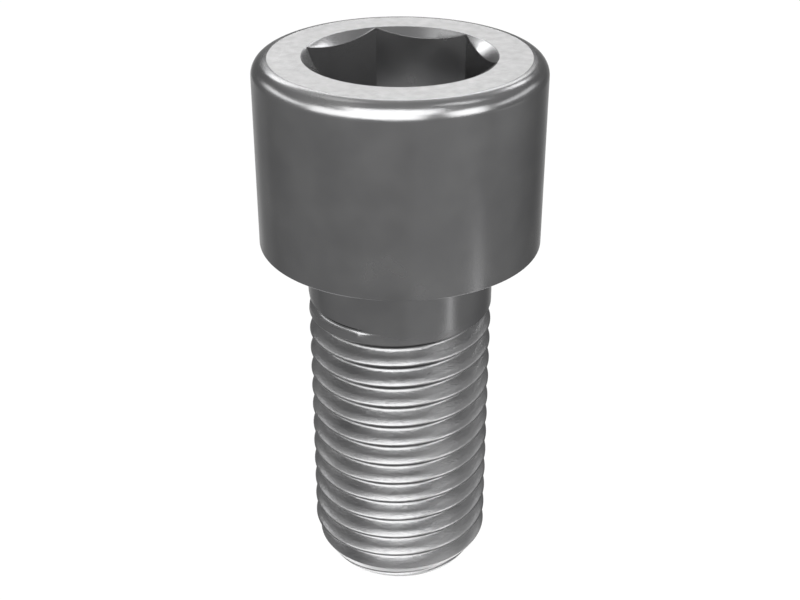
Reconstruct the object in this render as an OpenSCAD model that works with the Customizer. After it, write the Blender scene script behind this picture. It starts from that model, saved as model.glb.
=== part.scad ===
// Hexagon socket head bolt with a metric thread.
// The origin is the centre of the seat, the flat face under the head.
// The head stands above it along +Z and the shank reaches down along -Z.
// Two of the hexagon's corners lie on the X axis. Lengths are in millimetres.

/* [Head] */
// Diameter of the head
head_d = 30; // [27:0.5:36]
// Height of the head, from the seat to the top
head_h = 20; // [16:0.5:30]
// Radius of the rounded edge round the top
head_edge_r = 1.7; // [0.5:0.1:2]

/* [Socket] */
// Width of the hexagon across its flats
socket_af = 17; // [10:0.5:18]
// Depth of the hexagon's walls below the top of the head
socket_depth = 10; // [6:0.5:12]
// Full angle of the point that closes the socket
socket_point_angle = 140; // [118:1:170]
// How far the countersunk mouth reaches past the hexagon's corners
mouth_margin = 0.05; // [0.02:0.01:0.5]
// Slope of the countersink, from the top of the head
mouth_slope = 30; // [20:1:45]

/* [Shank] */
// Diameter of the plain shank and of the thread's crests
shank_d = 20; // [18:0.5:22]
// Length of the shank, from the seat to the end
shank_len = 40; // [25:1:60]
// Radius of the fillet between the shank and the seat
seat_fillet_r = 0.8; // [0.4:0.1:1.2]
// How far the end tapers in, on the radius
end_taper_depth = 1.75; // [1:0.05:3]
// Length of the tapered end
end_taper_len = 2.8; // [1:0.1:4]

/* [Thread] */
// Distance from one crest to the next
pitch = 2.5; // [1.5:0.05:3]
// Hand of the thread
thread_hand = "right"; // [right, left]
// Length of the plain neck, from the seat to where the groove starts
neck_len = 6.6; // [4:0.1:15]
// Length of groove that deepens from nothing, in turns
runout_turns = 0.4; // [0.2:0.05:1]
// Place round the axis where the groove starts, in degrees
runout_angle = -75; // [-180:5:180]

/* [Hidden] */
// Circles, and steps in one turn of the thread
$fn = 96;
turn_steps = 48;
// Overlap of cutters and fillets with what they cut or join
overlap = 0.5;

head_r = head_d / 2;
shank_r = shank_d / 2;
hex_corner_r = socket_af / 2 / cos(30);

// Metric thread form: sharp triangle, rounded root, crest an eighth of the pitch wide
flank_angle = 30;
triangle_h = pitch / 2 / tan(flank_angle);
root_r = triangle_h / 6;
groove_depth = 7 / 8 * triangle_h - root_r;
groove_half_w = 7 / 16 * pitch;
root_facets = 2;
// How far the groove's cutter stands out of the crests, so that its turns stay apart
cutter_lip = pitch / 16;

// Section of the groove as [distance from the axis, height], down round the root
function groove_section() =
    let (
        root_centre = shank_r - groove_depth + root_r,
        root_sweep = 90 - flank_angle,
        lip = [shank_r + cutter_lip, groove_half_w + cutter_lip * tan(flank_angle)]
    )
    concat(
        [lip],
        [for (i = [0 : root_facets])
            let (t = root_sweep * (1 - 2 * i / root_facets))
            [root_centre - root_r * cos(t), root_r * sin(t)]],
        [[lip.x, -lip.y]]
    );

// Walls of a tube of rings with n points each, split into triangles
function tube_walls(rings, n) = [
    for (i = [0 : rings - 1], j = [0 : n - 1])
        let (
            k = (j + 1) % n,
            a = i * n + j,
            b = i * n + k,
            c = a + n,
            d = b + n
        )
        each [[a, d, b], [a, c, d]]
];

// Helical groove, lifted clear of the shank where it starts and run out past the end
module thread_groove() {
    section = groove_section();
    n = len(section);
    turn = thread_hand == "left" ? -1 : 1;
    rings = ceil((shank_len + pitch - neck_len) / pitch * turn_steps);
    runout_steps = runout_turns * turn_steps;
    lift = groove_depth + cutter_lip;
    points = [
        for (i = [0 : rings])
            let (
                out = lift * max(0, 1 - i / runout_steps),
                a = runout_angle - turn * 360 * i / turn_steps,
                z = -neck_len - pitch * i / turn_steps
            )
            for (p = section)
                [(p.x + out) * cos(a), (p.x + out) * sin(a), z + p.y]
    ];
    first_cap = [for (j = [0 : n - 1]) j];
    last_cap = [for (j = [n - 1 : -1 : 0]) rings * n + j];
    faces = concat(tube_walls(rings, n), [first_cap, last_cap]);
    flipped = [for (f = faces) [for (j = [len(f) - 1 : -1 : 0]) f[j]]];
    polyhedron(points, turn > 0 ? faces : flipped, convexity = 10);
}

// Turned blank: head with a rounded top edge, filleted seat, shank and tapered end
module blank() {
    end_r = shank_r - end_taper_depth;
    edge_centre = [head_r - head_edge_r, head_h - head_edge_r];
    rotate_extrude() {
        polygon([
            [0, -shank_len],
            [end_r, -shank_len],
            [shank_r, end_taper_len - shank_len],
            [shank_r, 0],
            [head_r, 0],
            [head_r, edge_centre.y],
            [edge_centre.x, head_h],
            [0, head_h]
        ]);
        translate(edge_centre) circle(head_edge_r);
        difference() {
            translate([shank_r - overlap, -seat_fillet_r]) square(seat_fillet_r + overlap);
            translate([shank_r + seat_fillet_r, -seat_fillet_r]) circle(seat_fillet_r);
        }
    }
}

// Hexagon with a conical point at its bottom and a countersunk mouth
module socket() {
    punch_r = hex_corner_r + overlap;
    point_h = punch_r / tan(socket_point_angle / 2);
    point_z = head_h - socket_depth - point_h;
    mouth_r = hex_corner_r + mouth_margin;
    mouth_h = mouth_r * tan(mouth_slope);
    intersection() {
        translate([0, 0, point_z])
            cylinder(h = point_h + socket_depth + overlap, r = hex_corner_r, $fn = 6);
        union() {
            translate([0, 0, point_z])
                cylinder(h = point_h, r1 = 0, r2 = punch_r);
            translate([0, 0, point_z + point_h])
                cylinder(h = socket_depth + overlap, r = punch_r);
        }
    }
    translate([0, 0, head_h - mouth_h])
        cylinder(h = mouth_h + overlap, r1 = 0, r2 = mouth_r + overlap / tan(mouth_slope));
}

module socket_head_bolt() {
    color("gray")
    difference() {
        blank();
        socket();
        thread_groove();
    }
}

socket_head_bolt();
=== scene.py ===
"""Hexagon socket head bolt, M20 x 40, standing on its threaded end.

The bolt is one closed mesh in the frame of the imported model: the origin is the centre
of the seat, the head stands above it along +Z and the shank reaches down along -Z.
Sizes are in millimetres and become metres where a vertex is placed. The studio's own
sizes are in metres, and its lamps are placed round the origin.
"""

import logging
import math
from collections.abc import Callable, Iterator
from dataclasses import dataclass, field
from enum import Enum
from functools import partial

import bmesh
import bpy
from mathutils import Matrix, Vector


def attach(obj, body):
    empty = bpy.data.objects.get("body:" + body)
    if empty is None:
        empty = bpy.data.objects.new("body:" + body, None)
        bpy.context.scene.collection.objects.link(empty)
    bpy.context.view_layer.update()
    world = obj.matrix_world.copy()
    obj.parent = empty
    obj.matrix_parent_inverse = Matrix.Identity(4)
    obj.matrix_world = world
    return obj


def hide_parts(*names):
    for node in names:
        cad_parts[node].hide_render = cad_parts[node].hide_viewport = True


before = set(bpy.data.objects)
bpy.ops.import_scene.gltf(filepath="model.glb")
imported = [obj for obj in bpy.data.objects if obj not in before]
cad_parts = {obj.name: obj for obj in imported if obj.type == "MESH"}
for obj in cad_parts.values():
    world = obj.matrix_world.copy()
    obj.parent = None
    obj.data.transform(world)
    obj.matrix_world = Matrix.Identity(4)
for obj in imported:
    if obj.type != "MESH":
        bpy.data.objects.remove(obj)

LOG = logging.getLogger("socket_head_bolt")
MM = 0.001
# Columns of faces round the axis, and the angle from one to the next
COLUMNS = 144
STEP = 2 * math.pi / COLUMNS
# Part of that angle within which a vertex still belongs to a column
ON_COLUMN = 0.01
# Millimetres within which two places are the same
SAME = 0.001
# Least upright part of the normal of a level face
LEVEL = 0.99

Point = tuple[float, float]
Profile = Callable[[float], Point]


def linear(hex_colour: str) -> tuple[float, float, float, float]:
    """Turns an sRGB colour into the linear one that a shader takes.

    Args:
        hex_colour: the colour as #rrggbb.

    Returns:
        Red, green, blue and an alpha of 1.
    """
    channels = [int(hex_colour[i : i + 2], 16) / 255 for i in (1, 3, 5)]
    red, green, blue = (
        c / 12.92 if c <= 0.04045 else ((c + 0.055) / 1.055) ** 2.4 for c in channels
    )
    return red, green, blue, 1.0


def add_node(
    tree: bpy.types.NodeTree,
    kind: str,
    settings: dict[str, object] | None = None,
    **links: object,
) -> bpy.types.Node:
    """Adds a node, sets its properties and fills or links its inputs.

    Args:
        tree: the node tree that takes the node.
        kind: the node's type name.
        settings: properties of the node, by name.
        **links: inputs by name, with spaces as underscores, or by number after an "n".
            A socket is linked and anything else is set as the input's value.

    Returns:
        The new node.
    """
    node = tree.nodes.new(kind)
    for name, value in (settings or {}).items():
        setattr(node, name, value)
    for name, value in links.items():
        key = int(name[1:]) if name[1:].isdigit() else name.replace("_", " ")
        if isinstance(value, bpy.types.NodeSocket):
            tree.links.new(value, node.inputs[key])
        else:
            node.inputs[key].default_value = value
    return node


def clear_selection() -> None:
    """Leaves edit mode and deselects every object."""
    if bpy.context.object and bpy.context.object.mode != "OBJECT":
        bpy.ops.object.mode_set(mode="OBJECT")
    bpy.ops.object.select_all(action="DESELECT")


def apply_modifier(piece: bpy.types.Object, kind: str, **settings: object) -> None:
    """Adds a modifier to a piece, sets it and applies it.

    Args:
        piece: the piece, which is also the active object.
        kind: the modifier's type name.
        **settings: the modifier's properties by name.
    """
    modifier = piece.modifiers.new(kind.lower(), kind)
    for name, value in settings.items():
        setattr(modifier, name, value)
    bpy.ops.object.modifier_apply(modifier=modifier.name)


def quarter_turn(count: int) -> Iterator[float]:
    """Gives count angles in radians after 0, up to and with 90 degrees."""
    yield from (math.pi / 2 * i / count for i in range(1, count + 1))


def raise_ring(place: Point | Profile) -> None:
    """Extrudes the selected ring and puts its new vertices on a profile.

    Args:
        place: radius and height of a round ring in millimetres, or what gives them at
            an angle in radians.
    """
    bpy.ops.mesh.extrude_region_move()
    mesh = bpy.context.object.data
    work = bmesh.from_edit_mesh(mesh)
    for vertex in work.verts:
        if vertex.select:
            angle = math.atan2(vertex.co.y, vertex.co.x)
            radius, height = place(angle) if callable(place) else place
            vertex.co = Vector((math.cos(angle) * radius, math.sin(angle) * radius, height)) * MM
    bmesh.update_edit_mesh(mesh)


@dataclass(frozen=True)
class ThreadForm:
    """Section of a metric thread's groove: flanks at 60 degrees and a round root."""

    pitch: float = 2.5
    flank: float = math.radians(30)
    crest_edge_r: float = 0.22
    root_rows: int = 2

    @property
    def triangle(self) -> float:
        """Height of the sharp triangle of the thread form."""
        return self.pitch / 2 / math.tan(self.flank)

    @property
    def root_r(self) -> float:
        """Radius of the groove's root."""
        return self.triangle / 6

    @property
    def depth(self) -> float:
        """Depth of the groove below the crests."""
        return self.triangle * 7 / 8 - self.root_r

    @property
    def half_width(self) -> float:
        """Half the groove's width at the crests."""
        return self.pitch * 7 / 16

    @property
    def root_half_width(self) -> float:
        """Half the width of the round root, where it meets the flanks."""
        return self.root_r * math.cos(self.flank)

    @property
    def outer_edge(self) -> float:
        """Distance from the groove's middle at which the crest's rounded edge starts."""
        return self.half_width + self.crest_edge_r * math.tan(math.pi / 4 - self.flank / 2)

    @property
    def inner_edge(self) -> float:
        """Distance from the groove's middle at which the rounded edge meets the flank."""
        reach = self.outer_edge - self.half_width
        return self.half_width - reach * math.sin(self.flank)

    def rows(self) -> list[float]:
        """Lays out the rows of vertices over one pitch.

        The crest has no row of its own, so that its light runs softly into the flanks.

        Returns:
            Heights from the groove's middle, lowest first.
        """
        root = [self.root_half_width * i / self.root_rows for i in range(1, self.root_rows + 1)]
        flank_middle = (self.inner_edge + self.root_half_width) / 2
        upper = root + [flank_middle, self.inner_edge, self.outer_edge, self.pitch / 2]
        return [-height for height in reversed(upper)] + [0.0] + upper

    def depth_at(self, height: float) -> float:
        """Gives the groove's depth at a height from its middle.

        Args:
            height: distance from the middle of the groove along the axis.

        Returns:
            Depth below the crests, 0 on the crest.
        """
        side = abs(height)
        if side >= self.outer_edge:
            return 0.0
        if side > self.inner_edge:
            reach = self.outer_edge - side
            return self.crest_edge_r - math.sqrt(self.crest_edge_r**2 - reach**2)
        if side > self.root_half_width:
            return (self.half_width - side) / math.tan(self.flank)
        return self.depth - self.root_r + math.sqrt(self.root_r**2 - side**2)

    def lifted(self, height: float, lift: float) -> Point:
        """Gives a row's place when the whole section is lifted out of the shank.

        Args:
            height: the row's height from the groove's middle.
            lift: how far the section is lifted.

        Returns:
            The row's new height, slid along the narrower groove, and its depth.
        """
        narrowed = self.half_width - lift * math.tan(self.flank)
        width = max(self.root_half_width, narrowed)
        side = abs(height)
        if side <= self.half_width:
            side *= width / self.half_width
        else:
            half = self.pitch / 2
            side = half - (half - side) * (half - width) / (half - self.half_width)
        depth = max(0.0, self.depth_at(side) - lift)
        return math.copysign(side, height), depth


@dataclass
class ThreadedShank:
    """Plain neck and helical thread, open at the top where the head grows from it."""

    form: ThreadForm = field(default_factory=ThreadForm)
    crest_r: float = 10.0
    length: float = 40.0
    neck_len: float = 6.6
    # Height at which the head's rings carry on from the wound shank
    joint_z: float = -4.0
    # Length left past the end for the taper's cut
    spare_len: float = 1.0
    # Part of a turn over which the groove deepens, from this angle round the axis
    runout_turns: float = 0.4
    runout_angle: float = math.radians(-75)

    def middle_at(self, angle: float) -> float:
        """Height of one turn of the groove's middle at an angle round the axis."""
        return -self.neck_len + self.form.pitch * (angle - self.runout_angle) / (2 * math.pi)

    def build(self, name: str) -> bpy.types.Object:
        """Makes the shank.

        Args:
            name: the name of the new object.

        Returns:
            The shank, in edit mode, with the ring at its top selected.
        """
        piece = self._draw_section(name)
        self._turn(piece)
        self._run_out(piece)
        self._trim()
        return piece

    def _draw_section(self, name: str) -> bpy.types.Object:
        """Draws one pitch of the section from a single vertex, below the shank's end.

        Args:
            name: the name of the new object.

        Returns:
            The section, a line of edges in the XZ plane.
        """
        pitch = self.form.pitch
        turns_down = math.ceil((self.length + pitch + self.middle_at(0)) / pitch)
        middle = self.middle_at(0) - turns_down * pitch
        points = [
            Vector((self.crest_r - self.form.depth_at(row), 0, middle + row)) * MM
            for row in self.form.rows()
        ]
        clear_selection()
        bpy.ops.mesh.primitive_plane_add(size=MM, location=points[0])
        piece = bpy.context.object
        piece.name = piece.data.name = name
        bpy.ops.object.transform_apply(location=True, rotation=True, scale=True)
        bpy.ops.object.mode_set(mode="EDIT")
        bpy.ops.mesh.merge(type="CENTER")
        for start, end in zip(points, points[1:]):
            bpy.ops.mesh.extrude_region_move(TRANSFORM_OT_translate={"value": end - start})
        bpy.ops.object.mode_set(mode="OBJECT")
        return piece

    def _turn(self, piece: bpy.types.Object) -> None:
        """Winds the section up the shank, one pitch a turn.

        Args:
            piece: the section.
        """
        lowest = min(vertex.co.z for vertex in piece.data.vertices) / MM
        turns = math.ceil((self.joint_z - lowest) / self.form.pitch) + 1
        apply_modifier(
            piece,
            "SCREW",
            steps=COLUMNS,
            render_steps=COLUMNS,
            iterations=turns,
            screw_offset=self.form.pitch * MM,
        )
        bpy.ops.object.mode_set(mode="EDIT")
        bpy.ops.mesh.select_all(action="SELECT")
        bpy.ops.mesh.remove_doubles(threshold=SAME * MM)
        bpy.ops.object.mode_set(mode="OBJECT")

    def _run_out(self, piece: bpy.types.Object) -> None:
        """Lifts the groove out of the shank over its first part of a turn.

        Args:
            piece: the thread, which reaches past both ends of the shank.
        """
        pitch = self.form.pitch
        # A little more than the groove's depth, so that it starts from nothing
        full_lift = self.form.depth + pitch / 16
        for vertex in piece.data.vertices:
            angle = math.atan2(vertex.co.y, vertex.co.x)
            height = vertex.co.z / MM
            turn = round((self.middle_at(angle) - height) / pitch)
            middle = self.middle_at(angle) - turn * pitch
            turns_down = (-self.neck_len - middle) / pitch
            lift = full_lift * max(0.0, 1 - turns_down / self.runout_turns)
            if lift > 0:
                row, depth = self.form.lifted(height - middle, lift)
                radius = self.crest_r - depth
                vertex.co.x = math.cos(angle) * radius * MM
                vertex.co.y = math.sin(angle) * radius * MM
                vertex.co.z = (middle + row) * MM

    def _trim(self) -> None:
        """Cuts the shank level at both ends, closes the lower one and selects the upper."""
        bpy.ops.object.mode_set(mode="EDIT")
        bpy.ops.mesh.select_all(action="SELECT")
        bpy.ops.mesh.bisect(
            plane_co=(0, 0, -(self.length + self.spare_len) * MM),
            plane_no=(0, 0, 1),
            use_fill=True,
            clear_inner=True,
            threshold=SAME * MM,
        )
        bpy.ops.mesh.select_all(action="SELECT")
        bpy.ops.mesh.bisect(
            plane_co=(0, 0, self.joint_z * MM),
            plane_no=(0, 0, 1),
            clear_outer=True,
            threshold=SAME * MM,
        )
        self._select_top(between_columns=True)
        bpy.ops.mesh.dissolve_verts()
        self._select_top(between_columns=False)

    def _select_top(self, between_columns: bool) -> None:
        """Selects vertices of the ring at the top.

        Args:
            between_columns: whether only those that lie between two columns are meant.
        """
        mesh = bpy.context.object.data
        bpy.ops.mesh.select_all(action="DESELECT")
        bpy.ops.mesh.select_mode(type="VERT")
        work = bmesh.from_edit_mesh(mesh)
        for vertex in work.verts:
            on_top = abs(vertex.co.z / MM - self.joint_z) < SAME
            columns = math.atan2(vertex.co.y, vertex.co.x) / STEP
            off_column = abs(columns - round(columns)) > ON_COLUMN
            vertex.select = on_top and (off_column or not between_columns)
        work.select_flush(True)
        bmesh.update_edit_mesh(mesh)


@dataclass
class Head:
    """Cylindrical head: fillet and flat seat below, rounded edge round a flat top."""

    radius: float = 15.0
    height: float = 20.0
    neck_r: float = 10.0
    fillet_r: float = 0.8
    fillet_steps: int = 6
    seat_edge_r: float = 0.15
    seat_edge_steps: int = 4
    top_edge_r: float = 1.7
    top_edge_steps: int = 14

    def grow(self, mouth_r: float) -> None:
        """Grows the head from the selected ring, up to the socket's mouth.

        Args:
            mouth_r: radius at which the flat top ends.
        """
        for point in [*self._under(), *self._side(), (mouth_r, self.height)]:
            raise_ring(point)

    def _under(self) -> Iterator[Point]:
        """Gives the fillet from the neck to the seat and the seat's outer edge.

        Yields:
            Radius and height of each ring.
        """
        fillet, edge = self.fillet_r, self.seat_edge_r
        yield self.neck_r, -fillet
        for turn in quarter_turn(self.fillet_steps):
            yield self.neck_r + fillet * (1 - math.cos(turn)), fillet * (math.sin(turn) - 1)
        yield self.radius - edge, 0.0
        for turn in quarter_turn(self.seat_edge_steps):
            yield self.radius - edge * (1 - math.sin(turn)), edge * (1 - math.cos(turn))

    def _side(self) -> Iterator[Point]:
        """Gives the straight side and the rounded edge round the top.

        Yields:
            Radius and height of each ring.
        """
        edge = self.top_edge_r
        centre_r, centre_z = self.radius - edge, self.height - edge
        yield self.radius, centre_z
        for turn in quarter_turn(self.top_edge_steps):
            yield centre_r + edge * math.cos(turn), centre_z + edge * math.sin(turn)


@dataclass(frozen=True)
class SinkRing:
    """A ring on the countersink, given in parts of its width and of its soft edge.

    The inset runs in along the slope from the mouth. From there the ring moves out from
    the axis and down by parts of the soft edge.
    """

    inset_widths: float = 0.0
    inset_edges: float = 0.0
    out_edges: float = 0.0
    down_edges: float = 0.0


@dataclass
class HexSocket:
    """Punched hexagon with a countersunk mouth and a conical bottom."""

    across_flats: float = 17.0
    depth: float = 10.0
    point_angle: float = math.radians(140)
    mouth_margin: float = 0.05
    mouth_slope: float = math.radians(30)
    # Past the corners, where the bottom's cone is just as deep as the socket
    punch_margin: float = 0.5
    # Reach of a soft edge, and the most of the countersink's width that it takes
    edge_soft: float = 0.09
    edge_share: float = 0.4
    # Middle and end of the mouth's soft edge, then start, middle and end of the wall's
    sink_rings: tuple[SinkRing, ...] = (
        SinkRing(inset_edges=0.15, down_edges=0.1),
        SinkRing(inset_edges=1.0),
        SinkRing(inset_widths=1.0, inset_edges=-1.0),
        SinkRing(inset_widths=1.0, out_edges=0.13, down_edges=0.2),
        SinkRing(inset_widths=1.0, down_edges=1.0),
    )
    # Rings on the bottom, as shares of the wall's distance from the axis
    floor_shares: tuple[float, ...] = (1.0, 0.97, 0.66, 0.33, 0.05)

    @property
    def corner_r(self) -> float:
        """Radius of the hexagon's corners."""
        return self.across_flats / 2 / math.cos(math.pi / 6)

    @property
    def mouth_r(self) -> float:
        """Radius of the countersink at the top of the head."""
        return self.corner_r + self.mouth_margin

    def wall_r(self, angle: float) -> float:
        """Distance of the hexagon's wall from the axis at an angle."""
        from_flat = angle % (math.pi / 3) - math.pi / 6
        return self.across_flats / 2 / math.cos(from_flat)

    def sink_point(self, ring: SinkRing, head_h: float, angle: float) -> Point:
        """Gives the place of one of the countersink's rings.

        Args:
            ring: the ring.
            head_h: height of the head's top.
            angle: angle round the axis in radians.

        Returns:
            Radius and height.
        """
        width = self.mouth_r - self.wall_r(angle)
        edge = min(self.edge_soft, self.edge_share * width)
        inset = ring.inset_widths * width + ring.inset_edges * edge
        radius = self.mouth_r - inset + ring.out_edges * edge
        return radius, head_h - inset * math.tan(self.mouth_slope) - ring.down_edges * edge

    def floor_point(self, share: float, head_h: float, angle: float) -> Point:
        """Gives a place on the conical bottom.

        Args:
            share: distance from the axis as a share of the wall's.
            head_h: height of the head's top.
            angle: angle round the axis in radians.

        Returns:
            Radius and height.
        """
        slope = 1 / math.tan(self.point_angle / 2)
        tip = head_h - self.depth - (self.corner_r + self.punch_margin) * slope
        radius = share * self.wall_r(angle)
        return radius, tip + radius * slope

    def grow(self, head_h: float) -> None:
        """Grows the socket down from the selected ring, which ends the flat top.

        Args:
            head_h: height of the head's top.
        """
        for ring in self.sink_rings:
            raise_ring(partial(self.sink_point, ring, head_h))
        for share in self.floor_shares:
            raise_ring(partial(self.floor_point, share, head_h))
        bpy.ops.mesh.merge(type="CENTER")


class Facing(Enum):
    """The way that a level face looks, as the sign of its normal."""

    UP = 1
    DOWN = -1


@dataclass
class TaperedEnd:
    """Flat end with a short taper, turned on the shank after the thread."""

    length: float = 40.0
    crest_r: float = 10.0
    taper_depth: float = 1.75
    taper_len: float = 2.8
    edge_r: float = 0.2
    edge_steps: int = 3
    # How far the envelope of the cut clears the shank and the head
    spare: float = 2.5

    def cut(self, piece: bpy.types.Object, head_h: float, head_r: float) -> None:
        """Cuts the shank's end to its taper.

        Args:
            piece: the closed bolt, which reaches past the end.
            head_h: height of the head, which the envelope clears.
            head_r: radius of the head, which the envelope clears.
        """
        envelope = self._envelope(head_h, head_r)
        clear_selection()
        piece.select_set(True)
        bpy.context.view_layer.objects.active = piece
        apply_modifier(piece, "BOOLEAN", operation="INTERSECT", solver="EXACT", object=envelope)
        bpy.data.objects.remove(envelope)

    def _envelope(self, head_h: float, head_r: float) -> bpy.types.Object:
        """Makes a solid round the whole bolt whose foot is the tapered end.

        Args:
            head_h: height of the head.
            head_r: radius of the head.

        Returns:
            The solid.
        """
        widening = self.taper_depth / self.taper_len
        cone_h = self.taper_len + self.spare / widening
        cone_r = self.crest_r + self.spare
        clear_selection()
        bpy.ops.mesh.primitive_cone_add(
            vertices=COLUMNS,
            radius1=(self.crest_r - self.taper_depth) * MM,
            radius2=cone_r * MM,
            depth=cone_h * MM,
            location=(0, 0, (cone_h / 2 - self.length) * MM),
        )
        bpy.ops.object.transform_apply(location=True, rotation=True, scale=True)
        envelope = bpy.context.object
        bpy.ops.object.mode_set(mode="EDIT")
        self._select_level_faces(Facing.UP)
        outward = (head_r + self.spare) / cone_r
        bpy.ops.mesh.extrude_region_move()
        bpy.ops.transform.resize(value=(outward, outward, 1), center_override=(0, 0, 0))
        rise = self.length - cone_h + head_h + self.spare
        bpy.ops.mesh.extrude_region_move(TRANSFORM_OT_translate={"value": (0, 0, rise * MM)})
        self._select_level_faces(Facing.DOWN)
        bpy.ops.mesh.bevel(offset=self.edge_r * MM, segments=self.edge_steps, affect="EDGES")
        bpy.ops.object.mode_set(mode="OBJECT")
        return envelope

    @staticmethod
    def _select_level_faces(facing: Facing) -> None:
        """Selects only the level faces that look one way.

        Args:
            facing: the way that they look.
        """
        mesh = bpy.context.object.data
        bpy.ops.mesh.select_all(action="DESELECT")
        bpy.ops.mesh.select_mode(type="FACE")
        work = bmesh.from_edit_mesh(mesh)
        for face in work.faces:
            face.select = face.normal.z * facing.value > LEVEL
        bmesh.update_edit_mesh(mesh)


@dataclass(frozen=True)
class Grain:
    """Fine unevenness of a surface.

    The marks of a turning tool are a few hundredths of a millimetre wide, too fine for
    the picture, so each grain is drawn about ten times coarser.
    """

    width_mm: float
    height_mm: float


@dataclass(frozen=True)
class PlainSteel:
    """Hardened steel with no coating: turned and oiled, and faced across its top.

    The turned surface looks dark grey and satin, with soft bright highlights and faint
    cloudy patches, and it is rougher in the thread. The faced ring round the socket is
    bare and rougher, and its colour is written paler as a painted highlight that stands
    in for part of the light it reflects. So it looks pale, even and slightly mottled,
    and ends in a sharp line at the rounded edge.
    """

    dark: str = "#535354"
    light: str = "#606060"
    cloud_mm: float = 5.0
    roughness: float = 0.24
    # Part by which the clouds change the roughness
    uneven: float = 0.15
    # Below 1, so that the steel darkens where it turns away from the eye
    edge_tint: float = 0.45
    grain: Grain = Grain(0.24, 0.005)
    # Heights between which the turned neck becomes the rougher thread
    thread_from_to_mm: tuple[float, float] = (-6.6, -8.6)
    thread_roughness: float = 0.35
    thread_grain: Grain = Grain(0.4, 0.028)
    # Heights just below the head's top, between which the faced ring and its painted highlight
    # begin
    faced_and_highlight_from_to_mm: tuple[float, float] = (19.998, 19.9995)
    # Paler than the turned steel, partly as a painted highlight, and mottled at random
    faced_highlight_dark: str = "#737373"
    faced_highlight_light: str = "#7f7f7f"
    mottle_mm: float = 1.0
    faced_roughness: float = 0.5
    faced_grain: Grain = Grain(0.3, 0.028)
    # Values between which nearly all of a noise lies, and how fine and rough it is
    noise_span: tuple[float, float] = (0.3, 0.7)
    noise_detail: float = 2.0
    noise_roughness: float = 0.5

    def make(self, name: str) -> bpy.types.Material:
        """Makes the material.

        Args:
            name: the material's name.

        Returns:
            The new material.
        """
        material = bpy.data.materials.new(name)
        material.use_nodes = True
        tree = material.node_tree
        tree.nodes.clear()
        place = add_node(tree, "ShaderNodeTexCoord").outputs["Object"]
        height = add_node(tree, "ShaderNodeSeparateXYZ", Vector=place).outputs["Z"]
        in_thread, on_faced_highlit_ring = (
            add_node(
                tree,
                "ShaderNodeMapRange",
                Value=height,
                From_Min=start * MM,
                From_Max=full * MM,
            ).outputs["Result"]
            for start, full in (self.thread_from_to_mm, self.faced_and_highlight_from_to_mm)
        )
        grains = (
            (1.0, self.grain),
            (in_thread, self.thread_grain),
            (on_faced_highlit_ring, self.faced_grain),
        )
        noise = {
            size: add_node(
                tree,
                "ShaderNodeTexNoise",
                Vector=place,
                Scale=1 / (size * MM),
                Detail=self.noise_detail,
                Roughness=self.noise_roughness,
            ).outputs["Fac"]
            for size in (self.cloud_mm, self.mottle_mm, *(grain.width_mm for _, grain in grains))
        }
        bumps = [
            add_node(
                tree,
                "ShaderNodeBump",
                Strength=share,
                Distance=grain.height_mm * MM,
                Height=noise[grain.width_mm],
            )
            for share, grain in grains
        ]
        for below, above in zip(bumps, bumps[1:]):
            tree.links.new(below.outputs["Normal"], above.inputs["Normal"])
        shader = add_node(
            tree,
            "ShaderNodeBsdfPrincipled",
            Base_Color=self._colour(tree, noise, on_faced_highlit_ring),
            Metallic=1.0,
            Roughness=self._roughness(tree, noise, in_thread, on_faced_highlit_ring),
            Normal=bumps[-1].outputs["Normal"],
            Specular_Tint=(self.edge_tint, self.edge_tint, self.edge_tint, 1.0),
        )
        add_node(tree, "ShaderNodeOutputMaterial", Surface=shader.outputs["BSDF"])
        return material

    def _colour(
        self,
        tree: bpy.types.NodeTree,
        noise: dict[float, bpy.types.NodeSocket],
        on_faced_highlit_ring: bpy.types.NodeSocket,
    ) -> bpy.types.NodeSocket:
        """Mixes the cloudy turned colour with the faced ring's, paler as a painted highlight.

        Args:
            tree: the material's nodes.
            noise: noises by their size in millimetres.
            on_faced_highlit_ring: 1 on the faced ring and 0 elsewhere.

        Returns:
            The colour.
        """
        low, high = self.noise_span
        mottle = add_node(
            tree,
            "ShaderNodeMapRange",
            Value=noise[self.mottle_mm],
            From_Min=low,
            From_Max=high,
        )
        # The faced ring's colour is paler than the turned one, in part as a painted highlight
        turned, faced = (
            add_node(
                tree,
                "ShaderNodeMix",
                {"data_type": "RGBA"},
                n0=patches,
                n6=linear(dark),
                n7=linear(light),
            ).outputs[2]
            for patches, dark, light in (
                (noise[self.cloud_mm], self.dark, self.light),
                (mottle.outputs["Result"], self.faced_highlight_dark, self.faced_highlight_light),
            )
        )
        return add_node(
            tree, "ShaderNodeMix", {"data_type": "RGBA"}, n0=on_faced_highlit_ring, n6=turned, n7=faced
        ).outputs[2]

    def _roughness(
        self,
        tree: bpy.types.NodeTree,
        noise: dict[float, bpy.types.NodeSocket],
        in_thread: bpy.types.NodeSocket,
        on_faced_highlit_ring: bpy.types.NodeSocket,
    ) -> bpy.types.NodeSocket:
        """Makes the turned surface unevenly rough, and the thread and the ring rougher.

        Args:
            tree: the material's nodes.
            noise: noises by their size in millimetres.
            in_thread: 1 in the thread and 0 above it.
            on_faced_highlit_ring: 1 on the faced ring and 0 elsewhere.

        Returns:
            The roughness.
        """
        low, high = self.noise_span
        roughness = add_node(
            tree,
            "ShaderNodeMapRange",
            Value=noise[self.cloud_mm],
            From_Min=low,
            From_Max=high,
            To_Min=self.roughness * (1 - self.uneven),
            To_Max=self.roughness * (1 + self.uneven),
        ).outputs["Result"]
        for share, own in ((in_thread, self.thread_roughness), (on_faced_highlit_ring, self.faced_roughness)):
            roughness = add_node(
                tree,
                "ShaderNodeMath",
                {"operation": "MULTIPLY_ADD"},
                n0=share,
                n1=own - self.roughness,
                n2=roughness,
            ).outputs[0]
        return roughness


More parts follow.
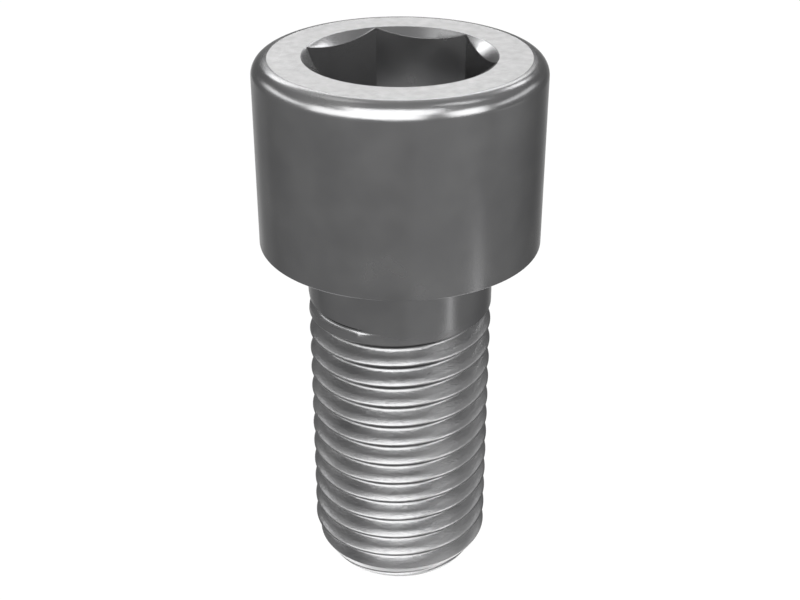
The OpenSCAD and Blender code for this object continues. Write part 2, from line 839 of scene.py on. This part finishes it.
@dataclass
class SocketHeadBolt:
    """The whole bolt, one forging: shank, head and socket in one closed mesh."""

    name: str = "bolt_body"
    shank: ThreadedShank = field(default_factory=ThreadedShank)
    head: Head = field(default_factory=Head)
    socket: HexSocket = field(default_factory=HexSocket)
    end: TaperedEnd = field(default_factory=TaperedEnd)
    finish: PlainSteel = field(default_factory=PlainSteel)
    smooth_angle: float = math.radians(35)

    def build(self) -> bpy.types.Object:
        """Builds, smooths and dresses the bolt.

        Returns:
            The bolt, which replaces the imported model's node.
        """
        piece = self.shank.build(self.name)
        self.head.grow(self.socket.mouth_r + self.socket.edge_soft)
        self.socket.grow(self.head.height)
        bpy.ops.mesh.select_all(action="SELECT")
        bpy.ops.mesh.normals_make_consistent(inside=False)
        bpy.ops.object.mode_set(mode="OBJECT")
        self.end.cut(piece, self.head.height, self.head.radius)
        self._smooth(piece)
        piece.data.materials.clear()
        piece.data.materials.append(self.finish.make("plain_turned_steel"))
        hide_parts("socket_head_bolt")
        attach(piece, "root")
        return piece

    def _smooth(self, piece: bpy.types.Object) -> None:
        """Shades the curves smooth and keeps the flats flat.

        Args:
            piece: the bolt, which is the active object.
        """
        bpy.ops.object.mode_set(mode="EDIT")
        bpy.ops.mesh.select_all(action="SELECT")
        bpy.ops.mesh.remove_doubles(threshold=SAME / 2 * MM)
        bpy.ops.mesh.normals_make_consistent(inside=False)
        bpy.ops.object.mode_set(mode="OBJECT")
        bpy.ops.object.shade_smooth_by_angle(angle=self.smooth_angle)
        apply_modifier(piece, "WEIGHTED_NORMAL", keep_sharp=True, weight=50)


class Blockers(Enum):
    """What casts a shadow in the light of a lamp."""

    ALL = "the bolt and the floor"
    BOLT = "the bolt alone, for a lamp under the floor"
    NONE = "nothing, for light that reaches into the thread and the socket"


@dataclass(frozen=True)
class SoftBox:
    """A soft rectangular lamp, placed by its direction as the camera sees the bolt.

    Azimuth 0 is straight behind the bolt, 90 to the right and 180 at the camera. Width,
    height and distance are in metres, and a radiance of 1 is as bright as a white wall.
    """

    name: str
    azimuth: float
    elevation: float
    width: float
    height: float
    radiance: float
    blockers: Blockers = Blockers.ALL
    distance: float = 0.6

    def place(self, away: float, open_to: dict[Blockers, bpy.types.Collection]) -> None:
        """Adds the lamp, facing the origin.

        Args:
            away: angle round the axis, in radians, of the direction behind the bolt.
            open_to: for each choice of blockers, what lets the light through.
        """
        turn = away - math.radians(self.azimuth)
        rise = math.radians(self.elevation)
        level = math.cos(rise)
        direction = Vector((level * math.cos(turn), level * math.sin(turn), math.sin(rise)))
        data = bpy.data.lights.new(self.name, "AREA")
        data.shape = "RECTANGLE"
        data.size = self.width
        data.size_y = self.height
        data.energy = self.radiance * math.pi * self.width * self.height
        lamp = bpy.data.objects.new(self.name, data)
        bpy.context.scene.collection.objects.link(lamp)
        lamp.location = direction * self.distance
        lamp.rotation_euler = direction.to_track_quat("Z", "Y").to_euler()
        lamp.visible_camera = False
        if self.blockers in open_to:
            lamp.light_linking.blocker_collection = open_to[self.blockers]


def share_seen(tree: bpy.types.NodeTree) -> bpy.types.NodeSocket:
    """Tells the rays that look at a thing from those that only carry its light.

    Args:
        tree: the node tree that takes the nodes.

    Returns:
        1 for rays from the camera and for those that metal or glass sends on, else 0.
    """
    path = add_node(tree, "ShaderNodeLightPath")
    seen = path.outputs["Is Camera Ray"]
    for kind in ("Is Glossy Ray", "Is Transmission Ray"):
        seen = add_node(
            tree, "ShaderNodeMath", {"operation": "MAXIMUM"}, n0=seen, n1=path.outputs[kind]
        ).outputs[0]
    return seen


@dataclass(frozen=True)
class PaintedFloor:
    """Matt pale paint on a board, lit to white but for the bolt's soft shadow."""

    colour: str = "#a8a8a8"
    # Part of its look that is plain white, and takes no shadow
    glow: float = 0.93

    def make(self, name: str) -> bpy.types.Material:
        """Makes the material.

        Args:
            name: the material's name.

        Returns:
            The new material.
        """
        material = bpy.data.materials.new(name)
        material.use_nodes = True
        tree = material.node_tree
        tree.nodes.clear()
        matt = add_node(tree, "ShaderNodeBsdfDiffuse", Color=linear(self.colour))
        white = add_node(tree, "ShaderNodeEmission", Color=linear("#ffffff"), Strength=1.0)
        share = add_node(
            tree, "ShaderNodeMath", {"operation": "MULTIPLY"}, n0=share_seen(tree), n1=self.glow
        )
        mix = add_node(
            tree,
            "ShaderNodeMixShader",
            n0=share.outputs[0],
            n1=matt.outputs[0],
            n2=white.outputs[0],
        )
        add_node(tree, "ShaderNodeOutputMaterial", Surface=mix.outputs[0])
        return material


@dataclass
class Studio:
    """White room with a pale floor, soft lamps and the photograph's camera."""

    floor_z: float = -0.04
    floor_size: float = 6.0
    floor_finish: PaintedFloor = field(default_factory=PaintedFloor)
    # Strength of the room's light on the bolt, where 1 is white
    fill: float = 0.5
    # The camera was fitted to the outlines of the head, the neck and the end
    camera_distance: float = 0.125487
    camera_height: float = 0.05969
    camera_azimuth: float = math.radians(-75)
    camera_pitch: float = math.radians(28.302)
    camera_near: float = 0.005
    # Millimetres, for the usual sensor 36 mm wide
    lens: float = 58.2
    sensor: float = 36.0
    lamps: tuple[SoftBox, ...] = (
        # The bright line along the front of the head's rounded edge, and the thread
        SoftBox("front_softbox", -173, 48, 0.66, 0.34, 10.0, Blockers.NONE),
        SoftBox("front_low_softbox", -171, 17, 0.56, 0.3, 10.5, Blockers.NONE),
        SoftBox("front_left_softbox", -128, 17, 0.39, 0.32, 9.0, Blockers.NONE),
        SoftBox("front_right_softbox", 129, 17, 0.3, 0.32, 10.5, Blockers.NONE),
        # The left and right ends of that line, and the sides of the thread
        SoftBox("left_strip", -80, 17, 0.5, 0.12, 7.0),
        SoftBox("right_strip", 80, 17, 0.5, 0.12, 4.5),
        # The faced ring
        SoftBox("back_softbox", 1, 32, 0.36, 0.13, 13.5),
        # The glints on the rounded edge and, across the socket, in the countersink
        SoftBox("back_left_lamp", -25, 33, 0.11, 0.1, 20.0),
        SoftBox("back_right_lamp", 37, 38, 0.12, 0.11, 14.0),
        # The rest of the countersink, and the top of the rounded edge
        SoftBox("high_back_softbox", 0, 53, 0.8, 0.22, 0.6),
        SoftBox("high_back_left_lamp", -38, 63, 0.16, 0.12, 4.0),
        # The upper flanks of the thread, evenly and then left and right
        SoftBox("ceiling_softbox", 180, 90, 1.6, 1.6, 0.3, Blockers.NONE),
        SoftBox("ceiling_left_lamp", -95, 69, 0.1, 0.18, 1.0, Blockers.NONE),
        SoftBox("ceiling_right_lamp", 90, 64, 0.12, 0.2, 6.0, Blockers.NONE),
        # The tapered end
        SoftBox("table_back_softbox", 0, -70, 0.7, 0.35, 7.0, Blockers.BOLT),
        # The right of the head, the streak down it and the neck, and the left outline
        SoftBox("table_right_softbox", 146, -30, 0.5, 0.4, 0.25, Blockers.BOLT),
        SoftBox("table_right_strip", 115, -36, 0.07, 0.2, 3.9, Blockers.BOLT),
        SoftBox("table_left_edge", -42, -24, 0.3, 0.3, 0.5, Blockers.BOLT),
        # The walls of the socket
        SoftBox("socket_back_card", -150, -13, 0.3, 0.07, 0.35, Blockers.NONE),
        SoftBox("socket_left_card", 90, -13, 0.3, 0.07, 0.9, Blockers.NONE),
        SoftBox("socket_right_card", -30, -13, 0.3, 0.07, 0.6, Blockers.NONE),
    )

    def build(self, bolt: bpy.types.Object) -> None:
        """Adds the floor, the lamps, the room's light and the camera.

        Args:
            bolt: the bolt, which some of the lamps shine through.
        """
        floor = self._floor()
        self._room()
        open_to = {
            Blockers.BOLT: self._let_through("light_passes_floor", [floor]),
            Blockers.NONE: self._let_through("light_passes_all", [floor, bolt]),
        }
        for lamp in self.lamps:
            lamp.place(self.camera_azimuth + math.pi, open_to)
        self._camera()
        bpy.context.scene.view_settings.view_transform = "Standard"

    @staticmethod
    def _let_through(name: str, pieces: list[bpy.types.Object]) -> bpy.types.Collection:
        """Gathers pieces that cast no shadow in the light of the lamps that use them.

        Args:
            name: the name of the new collection.
            pieces: the pieces.

        Returns:
            The collection, for a lamp's blockers.
        """
        group = bpy.data.collections.new(name)
        for piece in pieces:
            group.objects.link(piece)
        for member in group.collection_objects:
            member.light_linking.link_state = "EXCLUDE"
        return group

    def _floor(self) -> bpy.types.Object:
        """Lays the floor under the bolt's end.

        Returns:
            The floor.
        """
        clear_selection()
        bpy.ops.mesh.primitive_plane_add(size=self.floor_size, location=(0, 0, self.floor_z))
        bpy.ops.object.transform_apply(location=True, rotation=True, scale=True)
        floor = bpy.context.object
        floor.name = "studio_floor"
        floor.data.materials.append(self.floor_finish.make("pale_floor"))
        return floor

    def _room(self) -> None:
        """Makes the room white where it is seen, and a soft fill light elsewhere."""
        world = bpy.data.worlds.new("white_room")
        bpy.context.scene.world = world
        world.use_nodes = True
        tree = world.node_tree
        tree.nodes.clear()
        strength = add_node(
            tree,
            "ShaderNodeMapRange",
            Value=share_seen(tree),
            To_Min=self.fill,
            To_Max=1.0,
        )
        white = add_node(
            tree,
            "ShaderNodeBackground",
            Color=linear("#ffffff"),
            Strength=strength.outputs["Result"],
        )
        add_node(tree, "ShaderNodeOutputWorld", Surface=white.outputs[0])

    def _camera(self) -> None:
        """Sets the camera where the photograph was taken from."""
        data = bpy.data.cameras.new("camera")
        data.lens = self.lens
        data.sensor_width = self.sensor
        data.clip_start = self.camera_near
        camera = bpy.data.objects.new("camera", data)
        bpy.context.scene.collection.objects.link(camera)
        camera.location = (
            math.cos(self.camera_azimuth) * self.camera_distance,
            math.sin(self.camera_azimuth) * self.camera_distance,
            self.camera_height,
        )
        camera.rotation_euler = (
            math.pi / 2 - self.camera_pitch,
            0,
            self.camera_azimuth + math.pi / 2,
        )
        bpy.context.scene.camera = camera


def main() -> None:
    """Builds the bolt and its studio."""
    logging.basicConfig(level=logging.INFO, format="%(name)s: %(message)s")
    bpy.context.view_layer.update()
    bolt = SocketHeadBolt().build()
    LOG.info("%s: %d faces", bolt.name, len(bolt.data.polygons))
    Studio().build(bolt)
    LOG.info("studio: floor, lamps and camera")


if __name__ == "__main__":
    main()
